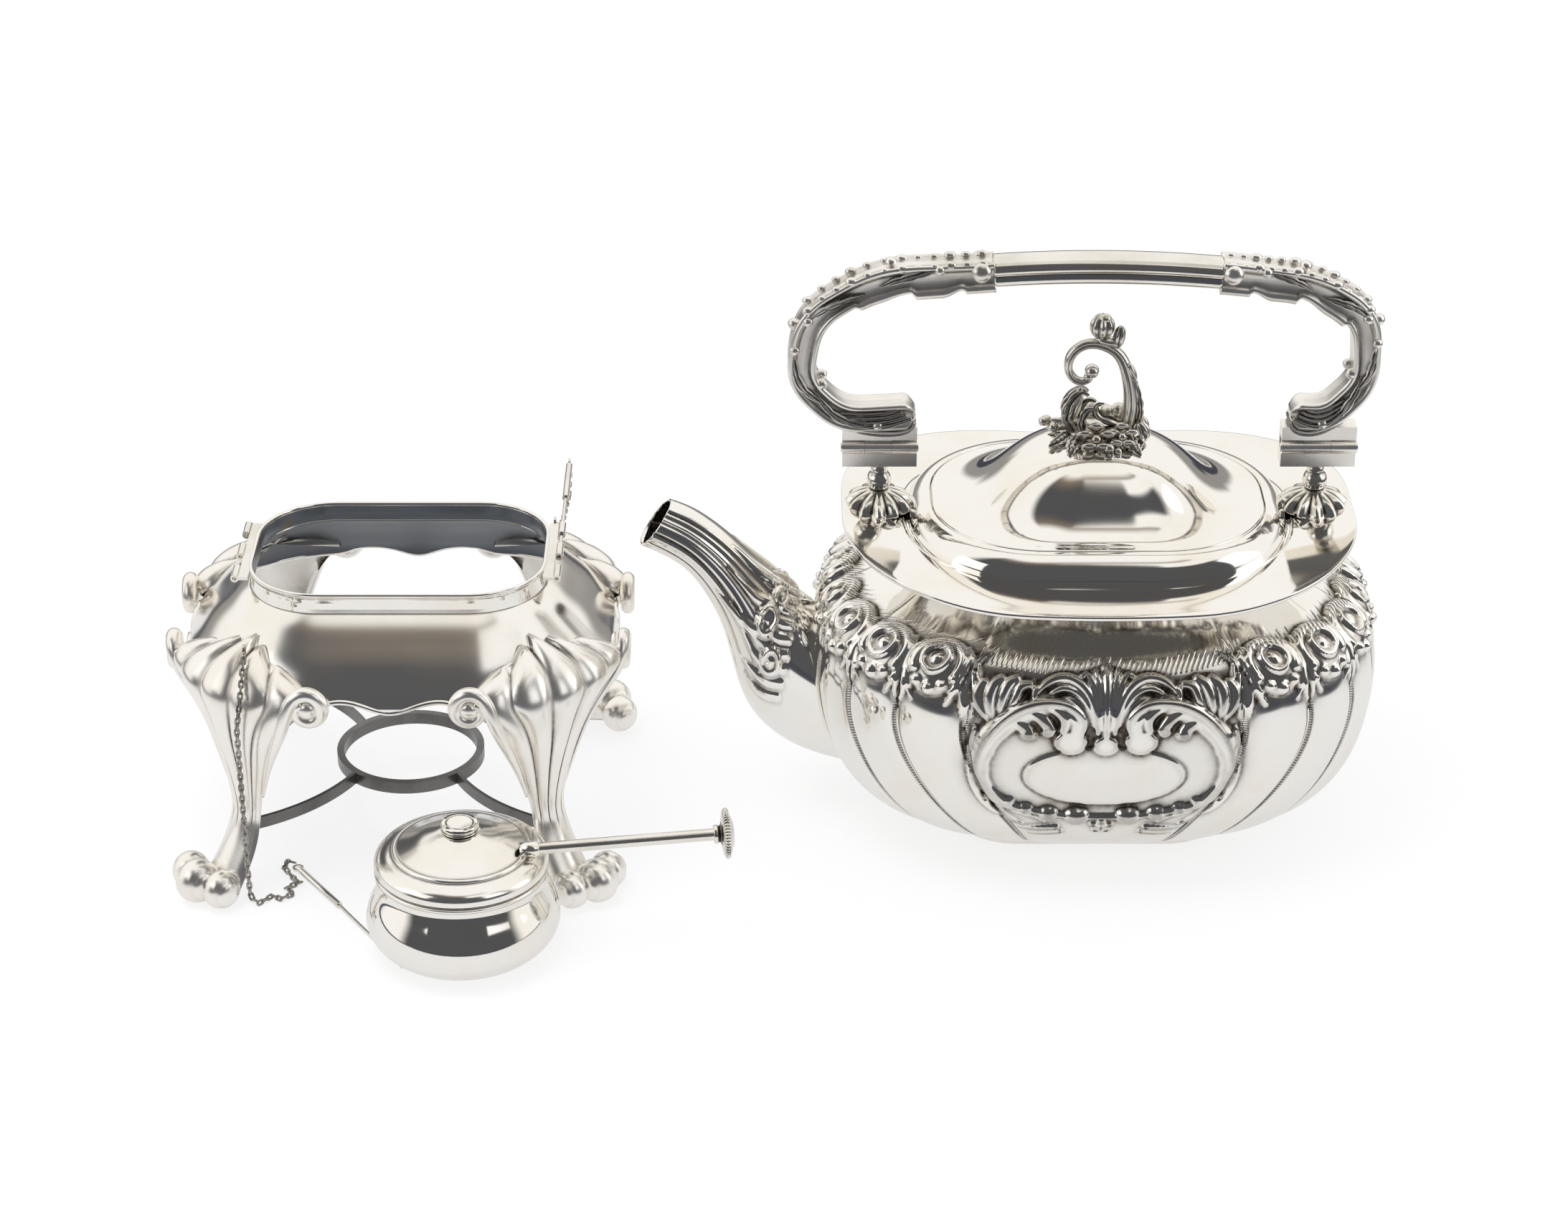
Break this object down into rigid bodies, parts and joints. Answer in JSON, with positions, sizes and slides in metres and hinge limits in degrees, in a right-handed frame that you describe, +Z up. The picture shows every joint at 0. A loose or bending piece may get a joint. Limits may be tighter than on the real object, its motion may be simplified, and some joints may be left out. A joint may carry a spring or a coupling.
{
  "type": "samovar",
  "caption": "Silver tea kettle with folding handle and lift-off lid, its footed stand with chained pins, and a spirit burner with a tube-handled cover, set side by side",
  "frame": {"origin": "middle of the whole set's box on the table top: the stand is at -X, the kettle at +X and the burner in front of the stand", "axes": "+Z up, +X from the stand to the kettle, along the length of both, +Y to the back, away from the burner"},
  "size_m": [0.5194, 0.2542, 0.2595],
  "materials": {
    "polished_silver": "polished silver plate with a warm tint, dark in the recesses",
    "cast_silver": "cast and chased silver, oxidised in the hollows",
    "dark_silver": "tarnished silver wire",
    "wick_cotton": "woven cotton wick"
  },
  "bodies": {
    "stand": {"stand_body": "polished_silver", "stand_rim": "polished_silver", "burner_ring": "cast_silver", "leg_front_left": "cast_silver", "leg_front_right": "cast_silver", "leg_back_left": "cast_silver", "leg_back_right": "cast_silver", "ring_arm_front_left": "cast_silver", "ring_arm_front_right": "cast_silver", "ring_arm_back_left": "cast_silver", "ring_arm_back_right": "cast_silver", "hinge_strip_left": "cast_silver", "hinge_strip_right": "cast_silver", "chain_eye_left": "dark_silver", "chain_eye_right": "dark_silver", "chain_left": "dark_silver", "chain_right": "dark_silver"},
    "pin_left": {"pin_left": "dark_silver"},
    "pin_right": {"pin_right": "dark_silver"},
    "burner": {"burner_bowl": "polished_silver", "burner_plate": "polished_silver", "wick": "wick_cotton"},
    "cover": {"burner_cover": "polished_silver", "cover_button": "polished_silver", "handle_rod": "polished_silver", "handle_knob": "cast_silver"},
    "kettle": {"kettle_body": "polished_silver", "kettle_floor": "polished_silver", "kettle_foot": "polished_silver", "neck_band": "polished_silver", "tray": "polished_silver", "mouth_ring": "polished_silver", "spout": "polished_silver", "kettle_hinge_left": "polished_silver", "kettle_hinge_right": "polished_silver", "post_left": "cast_silver", "post_right": "cast_silver", "lower_leaf_left": "polished_silver", "lower_leaf_right": "polished_silver", "hinge_pin_left": "polished_silver", "hinge_pin_right": "polished_silver"},
    "lid": {"lid": "polished_silver", "finial": "cast_silver", "finial_leaves": "cast_silver", "finial_bud": "cast_silver", "finial_nut": "polished_silver"},
    "handle": {"handle_grip": "polished_silver", "upper_leaf_left": "polished_silver", "upper_leaf_right": "polished_silver", "handle_arm_left": "cast_silver", "handle_arm_right": "cast_silver"}
  },
  "joints": [
    {"name": "kettle_lift", "type": "slide", "parent": "stand", "child": "kettle", "axis": [0, 0, 1], "range_m": [0, 0.05]},
    {"name": "lid_lift", "type": "slide", "parent": "kettle", "child": "lid", "axis": [0, 0, 1], "range_m": [0, 0.013]},
    {"name": "handle_fold", "type": "hinge", "parent": "kettle", "child": "handle", "pos_m": [0.1358, 0.0331, 0.1725], "axis": [1, 0, 0], "range_deg": [0, 105]},
    {"name": "burner_lift", "type": "slide", "parent": "stand", "child": "burner", "axis": [0, 0, 1], "range_m": [0, 0.015]},
    {"name": "cover_lift", "type": "slide", "parent": "burner", "child": "cover", "axis": [0, 0, 1], "range_m": [0, 0.022]},
    {"name": "pin_right_slide", "type": "slide", "parent": "stand", "child": "pin_right", "axis": [0, 1, 0], "range_m": [-0.0255, 0.03], "deforming": ["chain_right"]},
    {"name": "pin_left_slide", "type": "slide", "parent": "stand", "child": "pin_left", "axis": [-0.8279, -0.5609, 0], "range_m": [0, 0.015], "deforming": ["chain_left"]}
  ]
}
